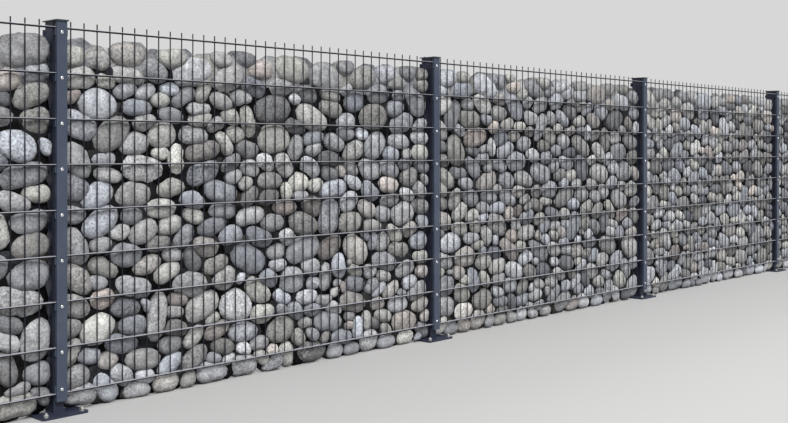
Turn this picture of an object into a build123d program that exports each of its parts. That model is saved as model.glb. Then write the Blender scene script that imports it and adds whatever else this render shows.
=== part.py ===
"""Gabion fence wall: posts on base plates, double-rod mats clamped front and back, stones between them.

The wall runs along X and its front faces -Y. The origin is under the middle of the first post's base plate.
All sizes are in millimetres.
"""

from build123d import *
import os

# Run of the wall
bay_count = 5
bay_pitch = 2500.0

# Base plates and their anchor holes
plate_width = 220.0
plate_depth = 210.0
plate_thickness = 10.0
plate_corner_radius = 12.0
anchor_from_side = 25.0
anchor_from_front = 20.0
anchor_hole_radius = 7.0

# Posts, a rectangular hollow section with a spare block high on the back
post_width = 50.0
post_depth = 80.0
post_wall = 3.0
post_corner_radius = 6.0
spare_block_thickness = 10.0

# Mats: double horizontal rods with upright rods between them
horizontal_rod = 8.0
upright_rod = 6.0
front_level_count = 9
back_level_count = 8
level_step = 200.0
lowest_level = 95.0
upright_count = 38
first_upright_from_end = 30.0
last_upright_from_end = 14.0
tip_length = 30.0
mat_lap_on_post = 5.0
weld_gap = 0.2

# Clamp strips, folded back at both sides, and the blocks behind them that carry the mats
strip_width = 50.0
strip_thickness = 5.0
strip_side_wall = 3.0
strip_side_depth = 12.0
strip_notch_clearance = 1.0
strip_drop = 33.0
block_overhang = 5.0
block_height = 30.0
block_gap = 0.3

# Post caps
cap_overhang = 6.0
cap_thickness = 6.0
cap_bevel = 2.0
cap_plug_depth = 20.0
cap_plug_wall = 2.5
cap_plug_clearance = 0.3

# Stone fill, with an uneven top below the highest rods
fill_below_top_level = 85.0
stone_pitch = 122.0
crest_rises = (46.0, 22.0, 58.0, 34.0, 50.0, 14.0, 40.0)
dip_rises = (4.0, 14.0, 0.0, 9.0)

# What follows from the sizes above
anchor_spacing_x = plate_width - 2 * anchor_from_side
anchor_spacing_y = plate_depth - 2 * anchor_from_front
mat_thickness = 2 * horizontal_rod + upright_rod
mat_width = bay_pitch - post_width + 2 * mat_lap_on_post
upright_step = (mat_width - first_upright_from_end - last_upright_from_end) / (upright_count - 1)
top_level = lowest_level + (front_level_count - 1) * level_step
cap_underside = top_level + tip_length
post_face = post_depth / 2
strip_back = post_face + mat_thickness
strip_front = strip_back + strip_thickness
strip_bottom = lowest_level - strip_drop
block_width = strip_width + 2 * block_overhang


def bar(x_range, y_range, z_range):
    """Square-edged bar between three pairs of coordinates."""
    x_low, x_high = x_range
    y_low, y_high = y_range
    z_low, z_high = z_range
    size = (x_high - x_low, y_high - y_low, z_high - z_low)
    return Pos(x_low, y_low, z_low) * Box(*size, align=(Align.MIN, Align.MIN, Align.MIN))


def middle(centre, width):
    """Pair of coordinates of a width about its centre."""
    return centre - width / 2, centre + width / 2


def level_height(level):
    return lowest_level + level * level_step


def mat_top(level_count):
    """Height of the upright tips above the last level."""
    return level_height(level_count - 1) + tip_length


def block_heights(level):
    """Bottom and top of a block: under the rods that it carries, but above the lowest ones."""
    rod_clearance = horizontal_rod / 2 + block_gap
    if level == 0:
        bottom = level_height(level) + rod_clearance
    else:
        bottom = level_height(level) - rod_clearance - block_height
    return bottom, bottom + block_height


def base_plate():
    """Plate with rounded corners and four anchor holes, its underside at height zero."""
    outline = RectangleRounded(plate_width, plate_depth, plate_corner_radius)
    holes = GridLocations(anchor_spacing_x, anchor_spacing_y, 2, 2) * Circle(anchor_hole_radius)
    return extrude(outline - holes, plate_thickness)


def post():
    """Hollow section standing on the base plate, up to the cap, with the block of the highest level behind it."""
    outline = RectangleRounded(post_width, post_depth, post_corner_radius)
    bore_width = post_width - 2 * post_wall
    bore_depth = post_depth - 2 * post_wall
    section = Pos(0, 0, plate_thickness) * (outline - Rectangle(bore_width, bore_depth))
    tube = extrude(section, cap_underside - plate_thickness)
    block_depth = (post_face, post_face + spare_block_thickness)
    return tube + bar(middle(0, block_width), block_depth, block_heights(front_level_count - 1))


def post_cap():
    """Bevelled lid over the front strip, the post and its spare block, with a hollow plug in the post."""
    width = post_width + 2 * cap_overhang
    depth = (-strip_front - cap_overhang, post_face + spare_block_thickness)
    lid = bar(middle(0, width), depth, (cap_underside, cap_underside + cap_thickness))
    lid = chamfer(lid.faces().sort_by(Axis.Z)[-1].edges(), cap_bevel)
    plug_width = post_width - 2 * post_wall - 2 * cap_plug_clearance
    plug_depth = post_depth - 2 * post_wall - 2 * cap_plug_clearance
    plug_hollow = Rectangle(plug_width - 2 * cap_plug_wall, plug_depth - 2 * cap_plug_wall)
    plug_section = Pos(0, 0, cap_underside - cap_plug_depth) * (Rectangle(plug_width, plug_depth) - plug_hollow)
    return lid + extrude(plug_section, cap_plug_depth)


def strip(level_count):
    """Clamp strip in front of a post, notched for the outer rods, with a block behind it at each level."""
    side_back = strip_back - strip_side_depth
    height = (strip_bottom, mat_top(level_count))
    channel = bar(middle(0, strip_width), (-strip_front, -side_back), height)
    channel -= bar(middle(0, strip_width - 2 * strip_side_wall), (-strip_back, -side_back), height)
    blocks = []
    for level in range(level_count):
        notch_height = horizontal_rod + 2 * strip_notch_clearance
        notch = middle(level_height(level), notch_height)
        channel -= bar(middle(0, strip_width), (-strip_back, -side_back), notch)
        blocks.append(bar(middle(0, block_width), (-strip_back, -post_face), block_heights(level)))
    return channel.fuse(*blocks)


def mat(level_count):
    """Double-rod mat in front of the first bay.

    Every upright is welded to the lowest outer rod, and the first upright to every horizontal rod.
    At the other crossings the rods pass each other a fifth of a millimetre apart.
    """
    middle_plane = -post_face - mat_thickness / 2
    bay_middle = bay_pitch / 2
    rod_offset = (upright_rod + horizontal_rod) / 2
    along = middle(bay_middle, mat_width)
    rods = []
    for level in range(level_count):
        height = middle(level_height(level), horizontal_rod)
        outer_low, outer_high = middle(middle_plane - rod_offset, horizontal_rod)
        if level == 0:
            outer_high += weld_gap
        rods.append(bar(along, (outer_low, outer_high), height))
        rods.append(bar(along, middle(middle_plane + rod_offset, horizontal_rod), height))
    upright_height = (lowest_level - horizontal_rod / 2, mat_top(level_count))
    first_upright = bay_middle - mat_width / 2 + first_upright_from_end
    for index in range(upright_count):
        depth = upright_rod if index == 0 else upright_rod - 2 * weld_gap
        x = first_upright + index * upright_step
        rods.append(bar(middle(x, upright_rod), middle(middle_plane, depth), upright_height))
    return rods[0].fuse(*rods[1:])


def stone_fill():
    """Stones of the first bay as one mass between the posts, with a dip and a crest for each top stone."""
    start = post_width / 2
    length = bay_pitch - post_width
    dip_height = top_level - fill_below_top_level
    stone_count = round(length / stone_pitch)
    step = length / stone_count
    top = []
    for stone in range(stone_count):
        dip = dip_height + dip_rises[stone % len(dip_rises)]
        crest = dip_height + crest_rises[stone % len(crest_rises)]
        top.append((start + stone * step, dip))
        top.append((start + (stone + 0.5) * step, crest))
    outline = [(start, 0), *top, (start + length, dip_height), (start + length, 0)]
    side = Plane.XZ * make_face(Polyline(*outline, close=True))
    mass = extrude(side, post_depth / 2, both=True)
    for plate_middle in (0, bay_pitch):
        plate_room = (middle(plate_middle, plate_width), middle(0, plate_depth), (0, plate_thickness))
        mass -= bar(*plate_room)
    return mass


def turned(shape, x):
    """The same piece turned to the back of the wall about an upright axis at x."""
    return Pos(x, 0, 0) * Rot(0, 0, 180) * Pos(-x, 0, 0) * shape


def write(name, shape):
    export_step(shape, f"parts/{name}.step")


def write_posts():
    for_each_post = {
        "base_plate": base_plate(),
        "post": post(),
        "post_cap": post_cap(),
        "front_strip": strip(front_level_count),
        "back_strip": turned(strip(back_level_count), 0),
    }
    for number in range(bay_count + 1):
        for name, shape in for_each_post.items():
            write(f"{name}_{number + 1}", Pos(number * bay_pitch, 0, 0) * shape)


def write_bays():
    for_each_bay = {
        "front_mat": mat(front_level_count),
        "back_mat": turned(mat(back_level_count), bay_pitch / 2),
        "stone_fill": stone_fill(),
    }
    for number in range(bay_count):
        for name, shape in for_each_bay.items():
            write(f"{name}_{number + 1}", Pos(number * bay_pitch, 0, 0) * shape)


os.makedirs("parts", exist_ok=True)
write_posts()
write_bays()
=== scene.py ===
"""Looks of the gabion fence wall: river stones, round rods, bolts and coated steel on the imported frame.

Lengths are in metres unless a name says otherwise. X runs along the wall and the front faces -Y.
"""

import math

import bpy
import numpy as np
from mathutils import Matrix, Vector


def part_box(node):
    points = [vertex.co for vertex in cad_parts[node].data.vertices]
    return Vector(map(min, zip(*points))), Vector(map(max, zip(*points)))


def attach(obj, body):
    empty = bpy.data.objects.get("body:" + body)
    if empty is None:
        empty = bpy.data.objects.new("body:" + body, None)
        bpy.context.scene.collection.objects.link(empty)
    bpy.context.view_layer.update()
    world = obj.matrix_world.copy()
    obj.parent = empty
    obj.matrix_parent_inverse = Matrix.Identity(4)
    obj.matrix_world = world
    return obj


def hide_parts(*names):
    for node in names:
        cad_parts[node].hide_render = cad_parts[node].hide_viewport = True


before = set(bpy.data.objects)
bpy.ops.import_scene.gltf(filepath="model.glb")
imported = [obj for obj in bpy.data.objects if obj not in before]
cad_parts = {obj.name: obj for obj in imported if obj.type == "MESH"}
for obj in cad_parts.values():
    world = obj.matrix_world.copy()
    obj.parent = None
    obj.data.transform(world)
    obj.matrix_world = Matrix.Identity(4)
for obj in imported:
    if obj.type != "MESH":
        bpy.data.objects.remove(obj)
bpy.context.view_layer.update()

# Counts and sizes that the frame's boxes don't give
bay_count = 5
post_count = bay_count + 1
level_step = 0.200
upright_count = 38
first_upright_from_end = 0.030
last_upright_from_end = 0.014
horizontal_radius = 0.004
horizontal_sides = 12
upright_radius = 0.003
upright_sides = 10
tip_length = 0.030
block_half_height = 0.015
rod_to_block = 0.0043
anchor_from_side = 0.025
anchor_from_front = 0.020

# River stones: the seeds that fix each layer of a bay and its top line
layer_seeds = {"front": 11, "middle": 23, "back": 37}
seeds_per_bay = 100
first_crest_seed = 1000

# River stones: sizes and shapes. Turns are in radians, and a share of the stones lies nearly flat. A lean
# shifts a stone's waist by about lean_depth at most in each of its two directions. A swell is a height, as a
# share of the stone's radius, and a bend.
usual_stone = 0.128
stone_spread = 0.27
smallest_stone = 0.060
largest_stone = 0.200
smallest_stretch = 1.20
largest_stretch = 1.65
lying_share = 0.8
lying_turn = 0.3
free_turn = 1.57
top_row_above = 1.57
top_row_stretch = 1.5
stone_lean = 0.09
lean_depth = 0.005
stone_fullness = 0.78
stone_overlap = 0.004
swells = ((0.035, 2.2), (0.022, 4.0), (0.012, 7.0))

# River stones: half depths, as shares of the half width and within limits, and how far small ones sit back.
# A stone that lies between the levels of rods reaches further out, into the room up to the uprights.
face_depth_share = 0.62
shallowest_face = 0.018
deepest_face = 0.040
deepest_inner = 0.014
middle_depth_share = 0.4
shallowest_middle = 0.010
deepest_middle = 0.018
largest_setback = 0.012
upright_room = 0.006
between_levels_share = 0.6

# River stones: how they are packed on a grid, with reaches in half widths, and how finely they are drawn
grid_step = 0.005
relaxing_rounds = 14
relaxing_stride = 1.3
claim_reach = 2.1
claim_slack = 0.2
outline_steps = 60
ellipse_over_claim = {"front": 1.25, "middle": 1.7, "back": 1.25}
blend_sharpness = 10.0
narrowest_share = 0.5
floor_catch = 0.02
crest_pitch = 0.115
crest_count = 64
crest_low = 1.606
crest_high = 1.667
middle_below_top = 0.045
middle_overlap = 0.028
face_angles = 20
face_latitudes = (-1.0, -0.45, 0.0, 0.36, 0.7, 1.05, 1.3)
middle_angles = 10
middle_latitudes = (-0.7, 0.0, 0.7)

# Painted shade where stones meet: full at a stone's waist, gone at these latitudes, so the middle stones have
# it nearly all over. Stones of the open top row, from a margin below the lowest crest up, have less.
shade_free_from_waist = {"front": 0.55, "middle": 9.0, "back": 0.55}
open_row_margin = 0.03
open_row_shade = 0.6

# Tones of the stones, from darkest to palest between 0 and 1. Each stone's pattern comes from its own place
# in a cube of noise, which has pattern_room as its side.
usual_tone = 0.54
tone_spread = 0.19
darkest_tone = 0.15
# The covered middle stones take tones up to the one below: painted shade, nearly black.
deep_shade_tone = 0.04
pattern_room = 50

# Coats of the steel, and the painted highlight on the upper sides of the rods
coats = {
    "powder_coat": {"colour": (0.026, 0.031, 0.056), "dusty_colour": (0.06, 0.065, 0.09), "roughness": 0.42,
                    "gloss": 0.35},
    "cap_coat": {"colour": (0.045, 0.05, 0.06), "dusty_colour": (0.1, 0.105, 0.12), "roughness": 0.45},
    "strip_coat": {"colour": (0.054, 0.07, 0.106), "dusty_colour": (0.1, 0.12, 0.16), "roughness": 0.4},
    "rod_coat": {"colour": (0.012, 0.013, 0.021), "dusty_colour": (0.03, 0.032, 0.044), "roughness": 0.42,
                 "gloss": 0.2, "painted_highlight_on_top": 0.9},
}
# Colour of the painted highlight on the rods' upper sides
painted_highlight_colour = (0.36, 0.36, 0.39)
black = (0.0, 0.0, 0.0)
white = (1.0, 1.0, 1.0)

# Stage and light
floor_half_side = 150.0
floor_as_seen = (0.5, 0.495, 0.49)
floor_to_soft_light = (0.2, 0.2, 0.2)
backdrop_colour = (0.68, 0.68, 0.68)
sun_spread = math.radians(35.0)
front_light_direction = (0.25, 0.75, -0.8)
front_light_strength = 2.9
back_light_direction = (-0.4, -0.8, -0.7)
back_light_strength = 1.0
sky_strength = 0.9

# Camera, solved from the photograph's levels, posts and base plates
camera_place = (0.1698, -4.2479, 1.1595)
camera_heading = math.radians(43.239)
picture_width = 788
picture_height = 423
focal_pixels = 1044.2
horizon_row = 150.16
sensor_width_mm = 36.0


# Shader helpers

def new_material(name):
    material = bpy.data.materials.new(name)
    material.use_nodes = True
    shader = material.node_tree.nodes["Principled BSDF"]
    return material, material.node_tree, shader


def add_node(tree, kind, **inputs):
    node = tree.nodes.new(kind)
    for name, value in inputs.items():
        node.inputs[name.replace("_", " ")].default_value = value
    return node


def noise(tree, vector, scale, detail=3.0, roughness=0.55):
    node = add_node(tree, "ShaderNodeTexNoise", Scale=scale, Detail=detail, Roughness=roughness)
    tree.links.new(vector, node.inputs["Vector"])
    return node.outputs["Fac"]


def ramp(tree, factor, stops):
    node = tree.nodes.new("ShaderNodeValToRGB")
    elements = node.color_ramp.elements
    while len(elements) < len(stops):
        elements.new(0.5)
    for element, (position, colour) in zip(elements, stops):
        element.position = position
        element.color = (*colour, 1.0)
    tree.links.new(factor, node.inputs["Fac"])
    return node.outputs["Color"]


def mapped(tree, value, from_low, from_high, to_low, to_high):
    node = add_node(tree, "ShaderNodeMapRange", From_Min=from_low, From_Max=from_high,
                    To_Min=to_low, To_Max=to_high)
    tree.links.new(value, node.inputs["Value"])
    return node.outputs["Result"]


def mixed(tree, factor, first, second, blend="MIX"):
    node = tree.nodes.new("ShaderNodeMix")
    node.data_type = "RGBA"
    node.blend_type = blend
    for name, value in (("Factor", factor), ("A", first), ("B", second)):
        socket = node.inputs[name]
        if isinstance(value, bpy.types.NodeSocket):
            tree.links.new(value, socket)
        else:
            socket.default_value = value
    return node.outputs["Result"]


def bumped(tree, shader, height, distance, strength=1.0):
    node = add_node(tree, "ShaderNodeBump", Strength=strength, Distance=distance)
    tree.links.new(height, node.inputs["Height"])
    tree.links.new(node.outputs["Normal"], shader.inputs["Normal"])


def object_place(tree):
    return tree.nodes.new("ShaderNodeTexCoord").outputs["Object"]


def attribute(tree, name):
    node = tree.nodes.new("ShaderNodeAttribute")
    node.attribute_name = name
    return node


# Materials

def coated_steel(name, colour, dusty_colour, roughness, gloss=0.5, painted_highlight_on_top=0.0):
    """Satin powder coat: fine grain in the gloss, a faint dust mottle, and a painted highlight on upper
    sides.
    """
    material, tree, shader = new_material(name)
    place = object_place(tree)
    mottle = noise(tree, place, 9.0, detail=4.0)
    dust = mapped(tree, mottle, 0.5, 0.8, 0.0, 0.5)
    coat = mixed(tree, dust, (*colour, 1.0), (*dusty_colour, 1.0))
    # Painted highlight: upper sides paler, as where the sky lights the rods.
    if painted_highlight_on_top > 0:
        upward = tree.nodes.new("ShaderNodeSeparateXYZ")
        tree.links.new(tree.nodes.new("ShaderNodeNewGeometry").outputs["Normal"], upward.inputs["Vector"])
        top_highlight = mapped(tree, upward.outputs["Z"], 0.1, 0.55, 0.0, painted_highlight_on_top)
        coat = mixed(tree, top_highlight, coat, (*painted_highlight_colour, 1.0))
    tree.links.new(coat, shader.inputs["Base Color"])
    grain = noise(tree, place, 900.0, detail=2.0)
    grainy_roughness = mapped(tree, grain, 0.3, 0.7, roughness - 0.06, roughness + 0.08)
    tree.links.new(grainy_roughness, shader.inputs["Roughness"])
    bumped(tree, shader, grain, 0.0002, strength=0.35)
    shader.inputs["Specular IOR Level"].default_value = gloss
    return material


def stainless_steel():
    """Bright domed bolt heads, with a fine turned grain."""
    material, tree, shader = new_material("stainless_bolts")
    shader.inputs["Metallic"].default_value = 1.0
    grain = noise(tree, object_place(tree), 700.0)
    steel_colour = ramp(tree, grain, [(0.3, (0.72, 0.73, 0.75)), (0.7, (0.86, 0.87, 0.88))])
    tree.links.new(steel_colour, shader.inputs["Base Color"])
    tree.links.new(mapped(tree, grain, 0.3, 0.7, 0.16, 0.3), shader.inputs["Roughness"])
    return material


def zinc_plate():
    """Dull zinc of the anchor nuts, studs and washers, with darker blooms."""
    material, tree, shader = new_material("zinc_nuts")
    shader.inputs["Metallic"].default_value = 0.85
    bloom = noise(tree, object_place(tree), 160.0, detail=5.0)
    zinc_colour = ramp(tree, bloom, [(0.3, (0.36, 0.36, 0.35)), (0.7, (0.66, 0.66, 0.64))])
    tree.links.new(zinc_colour, shader.inputs["Base Color"])
    tree.links.new(mapped(tree, bloom, 0.3, 0.7, 0.35, 0.6), shader.inputs["Roughness"])
    bumped(tree, shader, bloom, 0.0003, strength=0.3)
    return material


def river_stone():
    """Dry river stones of many tones and tints, mottled, specked and veined; painted shade where they meet.
    """
    material, tree, shader = new_material("river_stone")
    tone = attribute(tree, "stone_tone").outputs["Fac"]
    tint = attribute(tree, "stone_tint").outputs["Fac"]
    pattern = attribute(tree, "stone_pattern").outputs["Fac"]
    rim = attribute(tree, "stone_rim_shade").outputs["Fac"]
    place = attribute(tree, "stone_place").outputs["Vector"]

    # The lowest stop is painted shade: the nearly black of the covered middle stones.
    base = ramp(tree, tone, [(0.0, (0.02, 0.02, 0.022)), (0.12, (0.16, 0.162, 0.17)),
                             (0.5, (0.39, 0.39, 0.395)), (1.0, (0.72, 0.72, 0.72))])
    bluish_tints = [(0.0, (0.92, 0.97, 1.07)), (0.35, (0.97, 0.99, 1.03))]
    warm_tints = [(0.8, (0.99, 1.0, 0.93)), (0.94, (1.03, 0.99, 0.95)), (1.0, (1.09, 0.97, 0.91))]
    tints = ramp(tree, tint, [*bluish_tints, (0.6, white), *warm_tints])
    colour = mixed(tree, 1.0, base, tints, "MULTIPLY")

    mottle = noise(tree, place, 22.0, detail=5.0, roughness=0.6)
    mottle_colour = ramp(tree, mottle, [(0.3, (0.62, 0.62, 0.63)), (0.55, white), (0.75, (1.25, 1.25, 1.23))])
    colour = mixed(tree, 0.9, colour, mottle_colour, "MULTIPLY")

    specks = noise(tree, place, 240.0, detail=3.0, roughness=0.7)
    speck_colour = ramp(tree, specks, [(0.36, (0.5, 0.5, 0.5)), (0.5, white), (0.66, (1.35, 1.34, 1.3))])
    colour = mixed(tree, mapped(tree, pattern, 0.2, 1.0, 0.15, 0.9), colour, speck_colour, "MULTIPLY")

    vein_noise = noise(tree, place, 7.0, detail=6.0, roughness=0.55)
    vein_line = ramp(tree, vein_noise, [(0.488, black), (0.5, white), (0.512, black)])
    has_vein = mapped(tree, pattern, 0.0, 0.35, 0.55, 0.0)
    shows_on_tone = mapped(tree, tone, deep_shade_tone, darkest_tone, 0.0, 1.0)
    vein = mixed(tree, 1.0, vein_line, has_vein, "MULTIPLY")
    vein = mixed(tree, 1.0, vein, shows_on_tone, "MULTIPLY")
    colour = mixed(tree, vein, colour, (0.58, 0.57, 0.54, 1.0))

    blotches = noise(tree, place, 85.0, detail=4.0, roughness=0.65)
    blotch_colour = ramp(tree, blotches, [(0.38, (0.5, 0.5, 0.51)), (0.5, white), (0.64, (1.45, 1.45, 1.42))])
    colour = mixed(tree, mapped(tree, pattern, 0.0, 1.0, 0.95, 0.4), colour, blotch_colour, "MULTIPLY")

    # Painted shade where stones meet, darkest at each stone's waist.
    painted_shade = ramp(tree, rim, [(0.0, white), (0.5, (0.72, 0.72, 0.72)), (1.0, (0.1, 0.1, 0.1))])
    colour = mixed(tree, 1.0, colour, painted_shade, "MULTIPLY")

    tree.links.new(colour, shader.inputs["Base Color"])
    tree.links.new(mapped(tree, mottle, 0.3, 0.7, 0.72, 0.92), shader.inputs["Roughness"])
    # Gloss fades in the painted shade where stones meet.
    tree.links.new(mapped(tree, rim, 0.3, 1.0, 0.35, 0.0), shader.inputs["Specular IOR Level"])
    relief = mixed(tree, 0.35, mottle, specks)
    bumped(tree, shader, relief, 0.005, strength=0.7)
    return material


def floor_material():
    """Pale to the camera and in gloss, but darker to soft light, so that little light comes from below."""
    material, tree, shader = new_material("floor")
    rays = tree.nodes.new("ShaderNodeLightPath")
    seen = tree.nodes.new("ShaderNodeMath")
    seen.operation = "MAXIMUM"
    tree.links.new(rays.outputs["Is Camera Ray"], seen.inputs[0])
    tree.links.new(rays.outputs["Is Glossy Ray"], seen.inputs[1])
    colour = mixed(tree, seen.outputs["Value"], (*floor_to_soft_light, 1.0), (*floor_as_seen, 1.0))
    tree.links.new(colour, shader.inputs["Base Color"])
    shader.inputs["Roughness"].default_value = 0.9
    return material


# Mesh helpers

def new_piece(name, vertices, faces, material):
    """Mesh object that rides on the wall, with the given material."""
    mesh = bpy.data.meshes.new(name)
    mesh.from_pydata(vertices, [], faces)
    mesh.materials.append(material)
    mesh.shade_smooth()
    piece = bpy.data.objects.new(name, mesh)
    bpy.context.scene.collection.objects.link(piece)
    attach(piece, "root")
    return piece


class Solids:
    """Vertices and faces of many small solids that become one piece."""

    def __init__(self):
        self.vertices = []
        self.faces = []

    def add(self, vertices, faces):
        start = len(self.vertices)
        self.vertices.extend(vertices)
        self.faces.extend(tuple(start + corner for corner in face) for face in faces)

    def lathe(self, centre, axis, profile, sides, turn=0.0):
        """Solid of revolution: profile is a list of (radius, distance along the axis) pairs."""
        across, up = side_directions(axis)
        rings = []
        vertices = []
        for radius, distance in profile:
            if radius == 0:
                rings.append([len(vertices)])
                vertices.append(tuple(np.add(centre, np.multiply(axis, distance))))
                continue
            ring = []
            for side in range(sides):
                angle = turn + 2 * math.pi * side / sides
                offset = radius * (math.cos(angle) * across + math.sin(angle) * up)
                ring.append(len(vertices))
                vertices.append(tuple(np.add(centre, np.multiply(axis, distance)) + offset))
            rings.append(ring)
        faces = []
        if len(rings[0]) > 1:
            faces.append(tuple(reversed(rings[0])))
        for lower, upper in zip(rings, rings[1:]):
            faces.extend(band(lower, upper, sides))
        if len(rings[-1]) > 1:
            faces.append(tuple(rings[-1]))
        self.add(vertices, faces)

    def rod(self, start, end, radius, sides):
        """Straight round rod with flat ends."""
        direction = np.subtract(end, start)
        length = float(np.linalg.norm(direction))
        self.lathe(start, direction / length, [(radius, 0.0), (radius, length)], sides)


def side_directions(axis):
    """Two directions square to the axis and to each other."""
    axis = np.array(axis, float)
    helper = np.array((0.0, 0.0, 1.0)) if abs(axis[2]) < 0.9 else np.array((1.0, 0.0, 0.0))
    across = np.cross(helper, axis)
    across /= np.linalg.norm(across)
    return across, np.cross(axis, across)


def band(lower, upper, sides):
    """Faces between two rings, either of which may be a single point."""
    faces = []
    for side in range(sides):
        following = (side + 1) % sides
        if len(lower) == 1:
            faces.append((lower[0], upper[following], upper[side]))
        elif len(upper) == 1:
            faces.append((lower[side], lower[following], upper[0]))
        else:
            faces.append((lower[side], lower[following], upper[following], upper[side]))
    return faces


def sharpened(piece, degrees=40.0):
    piece.data.set_sharp_from_angle(angle=math.radians(degrees))
    return piece


# Stones

def top_line(x, seed):
    """Uneven top of the stones: a smooth line through one random height per crest."""
    generator = np.random.default_rng(seed)
    heights = generator.uniform(crest_low, crest_high, crest_count)
    position = x / crest_pitch
    lower = np.floor(position).astype(int)
    share = position - lower
    ease = share * share * (3 - 2 * share)
    return heights[lower % crest_count] * (1 - ease) + heights[(lower + 1) % crest_count] * ease


def stone_sizes(generator, area):
    """Half widths of stones, many of the usual size and a few small and large, until they fill the area."""
    sizes = []
    filled = 0.0
    while filled < area:
        drawn = generator.lognormal(math.log(usual_stone), stone_spread)
        size = float(np.clip(drawn, smallest_stone, largest_stone))
        sizes.append(size / 2)
        filled += math.pi * size * size / 4
    return np.array(sizes)


def claim_grid(centres, halves, stretch, turn, shape, origin):
    """Gives each grid point to the stone that it lies deepest in, so that borders come out nearly straight.

    The depth is a power distance: a difference of squares, which is negative inside a stone's ellipse.
    """
    best = np.full(shape, np.inf)
    owner = np.full(shape, -1)
    for index, (centre, half) in enumerate(zip(centres, halves)):
        reach = int(claim_reach * half * stretch[index] / grid_step) + 2
        column, row = ((centre - origin) / grid_step).astype(int)
        x_low, x_high = max(column - reach, 0), min(column + reach, shape[0])
        z_low, z_high = max(row - reach, 0), min(row + reach, shape[1])
        if x_low >= x_high or z_low >= z_high:
            continue
        x = origin[0] + (np.arange(x_low, x_high) + 0.5) * grid_step - centre[0]
        z = origin[1] + (np.arange(z_low, z_high) + 0.5) * grid_step - centre[1]
        cosine, sine = math.cos(turn[index]), math.sin(turn[index])
        along = x[:, None] * cosine + z[None, :] * sine
        across = z[None, :] * cosine - x[:, None] * sine
        depth = (along / stretch[index]) ** 2 + (across * stretch[index]) ** 2 - half * half
        window = best[x_low:x_high, z_low:z_high]
        nearer = depth < window
        window[nearer] = depth[nearer]
        owner[x_low:x_high, z_low:z_high][nearer] = index
    return owner


def relaxed(generator, mask, halves, origin):
    """Spreads the stones over the mask until each lies in the middle of what it has claimed."""
    shape = mask.shape
    count = len(halves)
    extent = np.array(shape) * grid_step
    centres = origin + generator.uniform(0, 1, (count, 2)) * extent
    stretch = generator.uniform(smallest_stretch, largest_stretch, count)
    lying = generator.uniform(0, 1, count) < lying_share
    lying_turns = generator.normal(0.0, lying_turn, count)
    free_turns = generator.uniform(-free_turn, free_turn, count)
    turn = np.where(lying, lying_turns, free_turns)
    flat_turn = generator.normal(0.0, lying_turn / 2, count)
    columns, rows = np.meshgrid(np.arange(shape[0]), np.arange(shape[1]), indexing="ij")
    x = (origin[0] + (columns + 0.5) * grid_step)[mask]
    z = (origin[1] + (rows + 0.5) * grid_step)[mask]
    for _ in range(relaxing_rounds):
        in_top_row = centres[:, 1] > top_row_above
        turn = np.where(in_top_row, flat_turn, turn)
        stretch = np.where(in_top_row, np.maximum(stretch, top_row_stretch), stretch)
        claimed = claim_grid(centres, halves, stretch, turn, shape, origin)[mask]
        held = claimed >= 0
        claimed = claimed[held]
        points = np.bincount(claimed, minlength=count)
        filled = points > 0
        middle_x = np.bincount(claimed, x[held], minlength=count)[filled] / points[filled]
        middle_z = np.bincount(claimed, z[held], minlength=count)[filled] / points[filled]
        centres[filled] += relaxing_stride * (np.stack((middle_x, middle_z), axis=1) - centres[filled])
        lost = np.flatnonzero(~filled)
        if len(lost):
            chosen = generator.integers(0, len(x), len(lost))
            centres[lost] = np.stack((x[chosen], z[chosen]), axis=1)
    return centres, stretch, turn, claim_grid(centres, halves, stretch, turn, shape, origin)


def smoothed(radii):
    """Each radius drawn towards its two neighbours round the stone."""
    return (np.roll(radii, 1, axis=1) + 2 * radii + np.roll(radii, -1, axis=1)) / 4


def stone_outlines(centres, halves, stretch, turn, owner, origin, angles, over_claim):
    """Rounded outline of each stone: its ellipse where it is free, its claim's edge beside a neighbour."""
    direction = 2 * math.pi * np.arange(angles) / angles
    steps = np.arange(1, outline_steps) * (grid_step * 0.5)
    ray_x = centres[:, 0, None, None] + np.cos(direction)[None, :, None] * steps
    ray_z = centres[:, 1, None, None] + np.sin(direction)[None, :, None] * steps
    column = np.floor((ray_x - origin[0]) / grid_step).astype(int)
    row = np.floor((ray_z - origin[1]) / grid_step).astype(int)
    inside = (column >= 0) & (column < owner.shape[0]) & (row >= 0) & (row < owner.shape[1])
    found = owner[np.clip(column, 0, owner.shape[0] - 1), np.clip(row, 0, owner.shape[1] - 1)]
    own = inside & (found == np.arange(len(centres))[:, None, None])
    free = np.argmin(own, axis=2)
    claim = np.where(own.all(axis=2), steps[-1], steps[np.maximum(free - 1, 0)])
    along = np.cos(direction[None, :] - turn[:, None]) / stretch[:, None]
    across = np.sin(direction[None, :] - turn[:, None]) * stretch[:, None]
    ellipse = halves[:, None] / np.hypot(along, across)
    claim = np.minimum(claim, (over_claim + claim_slack) * ellipse)
    fill = np.sqrt((claim ** 2).mean(axis=1) / (ellipse ** 2).mean(axis=1))
    ellipse *= (over_claim * fill)[:, None]
    claim = smoothed(claim)
    outline = (claim ** -blend_sharpness + ellipse ** -blend_sharpness) ** (-1 / blend_sharpness)
    outline = np.maximum(outline, narrowest_share * outline.mean(axis=1, keepdims=True))
    return smoothed(outline) + stone_overlap / 2


def lumps(generator, vertices, sizes):
    """Low swells that make each stone its own shape, each with a height as a share of its size and a bend."""
    count = len(vertices)
    moved = np.zeros_like(vertices)
    outward = vertices / np.maximum(np.linalg.norm(vertices, axis=2, keepdims=True), 1e-6)
    for strength, bend in swells:
        waves = generator.normal(0.0, bend, (count, 1, 3))
        phase = generator.uniform(0, 2 * math.pi, (count, 1))
        height = np.sin((outward * waves).sum(axis=2) + phase)
        moved += outward * (strength * sizes[:, None] * height)[:, :, None]
    return moved


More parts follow.
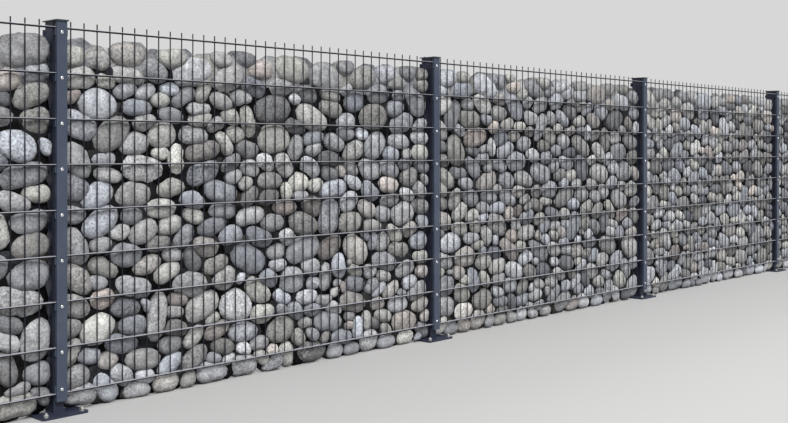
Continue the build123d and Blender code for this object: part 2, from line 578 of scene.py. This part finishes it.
def stone_shapes(generator, outline, outer_depth, inner_depth, latitudes):
    """Corners of each stone about its own middle: its inner pole, its rings and its outer pole."""
    count, angles = outline.shape
    radius = outline.mean(axis=1)
    steepest = lean_depth / radius[:, None]
    lean = generator.normal(0.0, stone_lean, (count, 2)).clip(-steepest, steepest)
    direction = 2 * math.pi * np.arange(angles) / angles
    rings = []
    for latitude in latitudes:
        depth = outer_depth if latitude > 0 else inner_depth
        spread = math.cos(latitude) ** stone_fullness
        x = outline * np.cos(direction) * spread
        z = outline * np.sin(direction) * spread
        y = -depth[:, None] * math.sin(latitude) + lean[:, :1] * x + lean[:, 1:] * z
        rings.append(np.stack((x, y, z), axis=2))
    body = np.concatenate(rings, axis=1)
    poles = np.zeros((count, 2, 3))
    poles[:, 0, 1] = inner_depth
    poles[:, 1, 1] = -outer_depth
    corners = np.concatenate((poles[:, :1], body, poles[:, 1:]), axis=1)
    return corners + lumps(generator, corners, radius)


def stone_faces(angles, ring_count):
    """Faces of one stone: a fan at each pole and bands between the rings."""
    last = 1 + ring_count * angles
    rings = [[1 + ring * angles + side for side in range(angles)] for ring in range(ring_count)]
    faces = band([0], rings[0], angles)
    for lower, upper in zip(rings, rings[1:]):
        faces.extend(band(lower, upper, angles))
    faces.extend(band(rings[-1], [last], angles))
    return faces


def placed_stones(corners, centres, face_y, floors, fill_box):
    """Puts a layer's stones in place: outermost point at face_y, and none through a side or the floor."""
    low, high = fill_box
    placed = corners + np.stack((centres[:, 0], np.zeros(len(centres)), centres[:, 1]), axis=1)[:, None]
    placed[:, :, 1] += (face_y - placed[:, :, 1].min(axis=1))[:, None]
    left = np.minimum(placed[:, :, 0].min(axis=1) - low.x, 0.0)
    right = np.maximum(placed[:, :, 0].max(axis=1) - high.x, 0.0)
    placed[:, :, 0] -= (left + right)[:, None]
    floor_height = floors(placed[:, :, 0].min(axis=1), placed[:, :, 0].max(axis=1))
    bottom = placed[:, :, 2].min(axis=1) - floor_height
    above = np.maximum(placed[:, :, 2].max(axis=1) - high.z, 0.0)
    on_floor = bottom < floor_catch
    placed[:, :, 2] -= np.where(on_floor, bottom, above)[:, None]
    return placed


def stone_layer(generator, layer, bay):
    """Placed corners and own corners of one layer's stones. The back layer is a front one, mirrored."""
    in_middle = layer == "middle"
    angles = middle_angles if in_middle else face_angles
    latitudes = middle_latitudes if in_middle else face_latitudes
    drop = middle_below_top if in_middle else 0.0
    columns, rows = np.meshgrid(bay["x"], bay["z"], indexing="ij")
    mask = bay["room"] & (rows < top_line(columns, bay["crest_seed"]) - drop)
    halves = stone_sizes(generator, mask.sum() * grid_step * grid_step)
    centres, stretch, turn, owner = relaxed(generator, mask, halves, bay["origin"])
    owner[~bay["room"]] = -1
    over_claim = ellipse_over_claim[layer]
    outline = stone_outlines(centres, halves, stretch, turn, owner, bay["origin"], angles, over_claim)
    kept = outline.mean(axis=1) > smallest_stone / 3
    centres, outline = centres[kept], outline[kept]
    radius = outline.mean(axis=1)
    if in_middle:
        outline = outline + middle_overlap
        outer_depth = np.clip(middle_depth_share * radius, shallowest_middle, deepest_middle)
        inner_depth = outer_depth
        face_y = -outer_depth
    else:
        outer_depth = np.clip(face_depth_share * radius, shallowest_face, deepest_face)
        inner_depth = np.minimum(outer_depth, deepest_inner)
        from_level = np.abs(centres[:, 1, None] - bay["levels"]).min(axis=1)
        room_between_rods = np.where(from_level > between_levels_share * radius, upright_room, 0.0)
        smallness = (1 - radius / (largest_stone / 2)).clip(0, 1)
        setback = generator.uniform(0.0, largest_setback, len(radius)) * smallness
        front_face = bay["box"][0].y
        face_y = front_face - room_between_rods + setback
    corners = stone_shapes(generator, outline, outer_depth, inner_depth, latitudes)
    placed = placed_stones(corners, centres, face_y, bay["floors"], bay["box"])
    if layer == "back":
        placed[:, :, 1] *= -1
    return placed, corners, angles, latitudes


def bay_frame(number):
    """Grid, room, floor heights and rod levels that the stones of one bay are fitted to."""
    low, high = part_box(f"stone_fill_{number}")
    _, plate_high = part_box(f"base_plate_{number}")
    plate_reach = plate_high.x - low.x
    x = low.x + (np.arange(int((high.x - low.x) / grid_step)) + 0.5) * grid_step
    z = low.z + (np.arange(int((high.z - low.z) / grid_step)) + 0.5) * grid_step
    columns, rows = np.meshgrid(x, z, indexing="ij")
    beside_plates = (columns > low.x + plate_reach) & (columns < high.x - plate_reach)

    def floors(left, right):
        over_plate = (left < low.x + plate_reach) | (right > high.x - plate_reach)
        return np.where(over_plate, plate_high.z, low.z)

    return {
        "box": (low, high),
        "origin": np.array((low.x, low.z)),
        "x": x,
        "z": z,
        "room": beside_plates | (rows > plate_high.z),
        "floors": floors,
        "levels": np.array(level_heights(f"front_mat_{number}")),
        "crest_seed": first_crest_seed + number,
    }


def layer_faces(count, angles, latitudes, first_corner, inside_out):
    """Faces of a whole layer, whose stones all have the same corners in the same order."""
    corner_count = 2 + angles * len(latitudes)
    one = np.array([face if len(face) == 4 else (*face, -1) for face in stone_faces(angles, len(latitudes))])
    first_corners = first_corner + corner_count * np.arange(count)
    many = np.where(one[None] < 0, -1, one[None] + first_corners[:, None, None]).reshape(-1, 4)
    if inside_out:
        many = np.where(many[:, 3:] < 0, many[:, [0, 2, 1, 3]], many[:, ::-1])
    return [tuple(face[:3]) if face[3] < 0 else tuple(face) for face in many.tolist()]


def layer_looks(generator, layer, placed, angles, latitudes):
    """Tone, tint, pattern and painted shade per corner of a layer's stones, deep ones painted dark all over.
    """
    count, corner_count = placed.shape[:2]
    covered = placed[:, :, 2].max(axis=1) < crest_low - open_row_margin
    tone = generator.normal(usual_tone, tone_spread, count).clip(darkest_tone, 1)
    # Covered middle stones are painted nearly black, as shade deep in the fill.
    if layer == "middle":
        tone[covered] = generator.uniform(0, deep_shade_tone, covered.sum())
    tint = generator.uniform(0, 1, count)
    pattern = generator.uniform(0, 1, count)
    corner_latitudes = np.concatenate(([-math.pi / 2], np.repeat(latitudes, angles), [math.pi / 2]))
    # Painted shade by latitude, darkest at the waist; the open top row has less, on both sides of it.
    rims = (1 - corner_latitudes / shade_free_from_waist[layer]).clip(0, 1)
    open_rims = open_row_shade * (1 - np.abs(corner_latitudes) / shade_free_from_waist[layer]).clip(0, 1)
    return {
        "stone_tone": np.repeat(tone, corner_count),
        "stone_tint": np.repeat(tint, corner_count),
        "stone_pattern": np.repeat(pattern, corner_count),
        "stone_rim_shade": np.where(covered[:, None], rims, open_rims).ravel(),
    }


def stone_bay(number, material):
    """All the stones of one bay, in three layers, as one piece."""
    bay = bay_frame(number)
    vertices, faces, looks, own_places = [], [], [], []
    corners_so_far = 0
    for layer, layer_seed in layer_seeds.items():
        generator = np.random.default_rng(layer_seed + seeds_per_bay * number)
        placed, corners, angles, latitudes = stone_layer(generator, layer, bay)
        count, corner_count = placed.shape[:2]
        faces.extend(layer_faces(count, angles, latitudes, corners_so_far, layer == "back"))
        vertices.append(placed.reshape(-1, 3))
        corners_so_far += count * corner_count
        looks.append(layer_looks(generator, layer, placed, angles, latitudes))
        own_places.append((corners + generator.uniform(0, pattern_room, (count, 1, 3))).reshape(-1, 3))
    piece = new_piece(f"stones_{number}", np.concatenate(vertices), faces, material)
    for name in looks[0]:
        values = np.concatenate([layer_values[name] for layer_values in looks])
        look_data = piece.data.attributes.new(name, "FLOAT", "POINT")
        look_data.data.foreach_set("value", values.astype(np.float32))
    place_data = piece.data.attributes.new("stone_place", "FLOAT_VECTOR", "POINT")
    place_data.data.foreach_set("vector", np.concatenate(own_places).astype(np.float32).ravel())
    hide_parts(f"stone_fill_{number}")
    return piece


# Mats

def level_heights(mat_node):
    """Heights of a mat's double horizontal rods."""
    low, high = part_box(mat_node)
    lowest = low.z + horizontal_radius
    top = high.z - tip_length
    count = round((top - lowest) / level_step) + 1
    return [lowest + level * level_step for level in range(count)]


def round_mat(node, material):
    """Mat of round rods in the place of a CAD mat."""
    low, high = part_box(node)
    middle_y = (low.y + high.y) / 2
    solids = Solids()
    for height in level_heights(node):
        for y in (low.y + horizontal_radius, high.y - horizontal_radius):
            solids.rod((low.x, y, height), (high.x, y, height), horizontal_radius, horizontal_sides)
    step = (high.x - low.x - first_upright_from_end - last_upright_from_end) / (upright_count - 1)
    for index in range(upright_count):
        from_end = first_upright_from_end + index * step
        x = low.x + from_end if middle_y < 0 else high.x - from_end
        solids.rod((x, middle_y, low.z), (x, middle_y, high.z), upright_radius, upright_sides)
    piece = new_piece(f"{node}_rods", solids.vertices, solids.faces, material)
    sharpened(piece)
    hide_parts(node)
    return piece


# Bolts and anchors

def strip_bolts(number, side, material):
    """Domed bolt heads at the clamp blocks of one post, down its front strip or its back."""
    strip_low, strip_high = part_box(f"{side}_strip_{number}")
    _, post_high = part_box(f"post_{number}")
    middle_x = (strip_low.x + strip_high.x) / 2
    mat_levels = level_heights(f"{side}_mat_1")
    head_radius = 0.008
    head_height = 0.0042
    head_sides = 16
    rim_height = 0.0008
    sunk = 0.0002
    dome_steps = 5
    profile = [(head_radius, -sunk), (head_radius, rim_height)]
    for step in range(1, dome_steps):
        angle = step * math.pi / (2 * dome_steps)
        rise = rim_height + (head_height - rim_height) * math.sin(angle)
        profile.append((head_radius * math.cos(angle), rise))
    profile.append((0.0, head_height))
    solids = Solids()
    for level, height in enumerate(level_heights("front_mat_1")):
        offset = rod_to_block + block_half_height
        bolt_height = height + offset if level == 0 else height - offset
        if side == "front":
            face_y, outward = strip_low.y, (0.0, -1.0, 0.0)
        elif level < len(mat_levels):
            face_y, outward = strip_high.y, (0.0, 1.0, 0.0)
        else:
            face_y, outward = post_high.y, (0.0, 1.0, 0.0)
        solids.lathe((middle_x, face_y, bolt_height), outward, profile, head_sides)
    name = f"{side}_bolts_{number}"
    return sharpened(new_piece(name, solids.vertices, solids.faces, material))


def anchor_bolts(number, material):
    """Stud, nut and washer at each anchor hole of a base plate."""
    low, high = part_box(f"base_plate_{number}")
    stud_radius = 0.006
    stud_sides = 14
    washer_radius = 0.012
    washer_sides = 24
    washer_height = 0.0025
    nut_sides = 6
    nut_across_flats = 0.019
    nut_radius = nut_across_flats / 2 / math.cos(math.pi / nut_sides)
    nut_turn_per_metre = 7
    nut_height = 0.010
    nut_bevel = 0.001
    stud_height = 0.018
    thread_pitch = 0.00175
    thread_depth = 0.0006
    nut_top = washer_height + nut_height
    up = (0.0, 0.0, 1.0)
    stud = [(stud_radius - thread_depth, low.z - high.z), (stud_radius - thread_depth, nut_top)]
    turns = int((stud_height - nut_top) / thread_pitch)
    for turn in range(turns):
        base = nut_top + turn * thread_pitch
        stud.append((stud_radius, base + thread_pitch / 2))
        stud.append((stud_radius - thread_depth, base + thread_pitch))
    washer = [(washer_radius, 0.0), (washer_radius, washer_height)]
    nut = [(nut_radius - nut_bevel, washer_height), (nut_radius, washer_height + nut_bevel),
           (nut_radius, nut_top - nut_bevel), (nut_radius - nut_bevel, nut_top)]
    solids = Solids()
    for x in (low.x + anchor_from_side, high.x - anchor_from_side):
        for y in (low.y + anchor_from_front, high.y - anchor_from_front):
            top = (x, y, high.z)
            solids.lathe(top, up, stud, stud_sides)
            solids.lathe(top, up, washer, washer_sides)
            solids.lathe(top, up, nut, nut_sides, turn=x * nut_turn_per_metre)
    piece = new_piece(f"anchor_bolts_{number}", solids.vertices, solids.faces, material)
    return sharpened(piece, degrees=25.0)


# Steel nodes that stay

def paint_steel(coated):
    """Strips and caps have coats of their own, and posts and base plates share one."""
    for name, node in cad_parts.items():
        if "strip" in name:
            material = coated["strip_coat"]
        elif name.startswith("post_cap"):
            material = coated["cap_coat"]
        elif name.startswith(("post", "base_plate")):
            material = coated["powder_coat"]
        else:
            continue
        node.data.materials.clear()
        node.data.materials.append(material)


# Stage, light and camera

def floor():
    mesh = bpy.data.meshes.new("floor")
    half = floor_half_side
    corners = [(-half, -half, 0), (half, -half, 0), (half, half, 0), (-half, half, 0)]
    mesh.from_pydata(corners, [], [(0, 1, 2, 3)])
    mesh.materials.append(floor_material())
    plane = bpy.data.objects.new("floor", mesh)
    bpy.context.scene.collection.objects.link(plane)


def studio_world():
    """Even light from all round, brightest overhead, and a pale backdrop that only the camera sees."""
    world = bpy.data.worlds.new("studio")
    bpy.context.scene.world = world
    world.use_nodes = True
    tree = world.node_tree
    light = tree.nodes["Background"]
    up = tree.nodes.new("ShaderNodeSeparateXYZ")
    tree.links.new(tree.nodes.new("ShaderNodeTexCoord").outputs["Generated"], up.inputs["Vector"])
    sky = ramp(tree, mapped(tree, up.outputs["Z"], -0.3, 1.0, 0.0, 1.0),
               [(0.0, (0.08, 0.08, 0.08)), (0.25, (0.27, 0.275, 0.29)), (1.0, white)])
    tree.links.new(sky, light.inputs["Color"])
    light.inputs["Strength"].default_value = sky_strength
    backdrop = add_node(tree, "ShaderNodeBackground", Color=(*backdrop_colour, 1.0), Strength=1.0)
    rays = tree.nodes.new("ShaderNodeLightPath")
    choice = tree.nodes.new("ShaderNodeMixShader")
    tree.links.new(rays.outputs["Is Camera Ray"], choice.inputs["Fac"])
    tree.links.new(light.outputs["Background"], choice.inputs[1])
    tree.links.new(backdrop.outputs["Background"], choice.inputs[2])
    tree.links.new(choice.outputs["Shader"], tree.nodes["World Output"].inputs["Surface"])


def soft_sun(name, direction, strength):
    """Even soft light that shines in one direction over the whole wall."""
    data = bpy.data.lights.new(name, "SUN")
    data.angle = sun_spread
    data.energy = strength
    lamp = bpy.data.objects.new(name, data)
    yaw = math.atan2(direction[1], direction[0]) - math.pi / 2
    pitch = math.atan2(direction[2], math.hypot(direction[0], direction[1])) + math.pi / 2
    lamp.rotation_euler = (pitch, 0.0, yaw)
    bpy.context.scene.collection.objects.link(lamp)


def photo_camera():
    data = bpy.data.cameras.new("camera")
    data.sensor_fit = "HORIZONTAL"
    data.sensor_width = sensor_width_mm
    data.lens = focal_pixels * sensor_width_mm / picture_width
    data.shift_y = -(picture_height / 2 - horizon_row) / picture_width
    data.clip_end = 500.0
    camera = bpy.data.objects.new("camera", data)
    camera.location = camera_place
    camera.rotation_euler = (math.pi / 2, 0.0, camera_heading - math.pi / 2)
    bpy.context.scene.collection.objects.link(camera)
    bpy.context.scene.camera = camera


def main():
    bpy.context.scene.view_settings.view_transform = "Standard"
    coated = {name: coated_steel(name, **finish) for name, finish in coats.items()}
    stainless = stainless_steel()
    zinc = zinc_plate()
    stone = river_stone()
    paint_steel(coated)
    for number in range(1, bay_count + 1):
        stone_bay(number, stone)
        round_mat(f"front_mat_{number}", coated["rod_coat"])
        round_mat(f"back_mat_{number}", coated["rod_coat"])
    for number in range(1, post_count + 1):
        strip_bolts(number, "front", stainless)
        strip_bolts(number, "back", stainless)
        anchor_bolts(number, zinc)
    floor()
    studio_world()
    soft_sun("front_light", front_light_direction, front_light_strength)
    soft_sun("back_light", back_light_direction, back_light_strength)
    photo_camera()


main()
